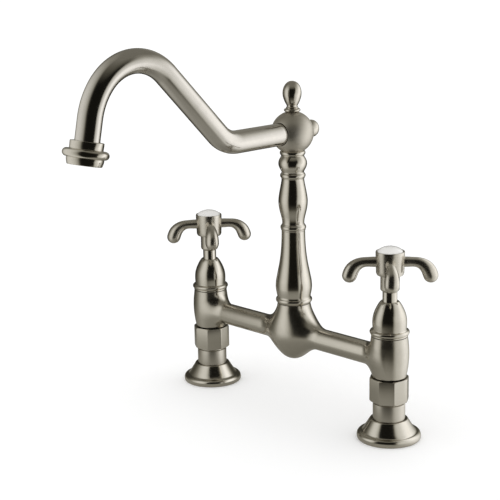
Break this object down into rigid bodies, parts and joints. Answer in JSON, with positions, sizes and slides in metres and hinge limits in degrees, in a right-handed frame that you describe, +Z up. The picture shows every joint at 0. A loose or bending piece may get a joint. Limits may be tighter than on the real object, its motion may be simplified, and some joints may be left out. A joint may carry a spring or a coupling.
{
  "type": "bridge kitchen faucet",
  "caption": "Bridge kitchen faucet with a swivelling swan-neck spout on a turned column and cross handles on quarter-turn ceramic cartridges.",
  "frame": {"origin": "on the deck plane, midway between the axes of the two posts, under the spout column", "axes": "+Z up, X through both posts with the right-hand post at +X, the spout reaches out towards -Y"},
  "size_m": [0.2622, 0.253, 0.3101],
  "materials": {
    "satin_nickel": "satin nickel plating, brushed, warm grey",
    "white_porcelain": "glossy white glaze",
    "valve_ceramic": "lapped",
    "bare_brass": "machined",
    "bare_steel": "machined stainless",
    "black_rubber": "moulded",
    "white_plastic": "moulded"
  },
  "bodies": {
    "faucet_body": {"bridge_body": "satin_nickel", "left_deck_flange": "satin_nickel", "left_deck_gasket": "black_rubber", "left_riser": "satin_nickel", "left_union_washer": "black_rubber", "left_snap_ring": "bare_steel", "left_coupling_nut": "satin_nickel", "left_seat_seal": "black_rubber", "left_fixed_disc": "valve_ceramic", "left_cartridge_body": "bare_brass", "left_stem_o_ring": "black_rubber", "left_bonnet": "satin_nickel", "left_stem_sleeve": "satin_nickel", "right_deck_flange": "satin_nickel", "right_deck_gasket": "black_rubber", "right_riser": "satin_nickel", "right_union_washer": "black_rubber", "right_snap_ring": "bare_steel", "right_coupling_nut": "satin_nickel", "right_seat_seal": "black_rubber", "right_fixed_disc": "valve_ceramic", "right_cartridge_body": "bare_brass", "right_stem_o_ring": "black_rubber", "right_bonnet": "satin_nickel", "right_stem_sleeve": "satin_nickel", "swivel_washer": "white_plastic", "grub_screw": "bare_steel"},
    "left_handle": {"left_moving_disc": "valve_ceramic", "left_spindle": "bare_brass", "left_handle": "satin_nickel", "left_handle_screw": "bare_steel", "left_index_button": "white_porcelain"},
    "right_handle": {"right_moving_disc": "valve_ceramic", "right_spindle": "bare_brass", "right_handle": "satin_nickel", "right_handle_screw": "bare_steel", "right_index_button": "white_porcelain"},
    "spout": {"spout_column": "satin_nickel", "lower_spigot_o_ring": "black_rubber", "upper_spigot_o_ring": "black_rubber", "spout_ball": "satin_nickel", "finial": "satin_nickel", "rear_plug": "satin_nickel", "spout_tube": "satin_nickel", "outlet_housing": "satin_nickel", "aerator_washer": "black_rubber", "aerator_insert": "white_plastic"}
  },
  "joints": [
    {"name": "spout_swivel", "type": "hinge", "parent": "faucet_body", "child": "spout", "pos_m": [0, 0, 0.09], "axis": [0, 0, 1], "continuous": true},
    {"name": "left_handle_turn", "type": "hinge", "parent": "faucet_body", "child": "left_handle", "pos_m": [-0.1016, 0, 0.12], "axis": [0, 0, 1], "range_deg": [0, 90]},
    {"name": "right_handle_turn", "type": "hinge", "parent": "faucet_body", "child": "right_handle", "pos_m": [0.1016, 0, 0.12], "axis": [0, 0, 1], "range_deg": [-90, 0]}
  ]
}
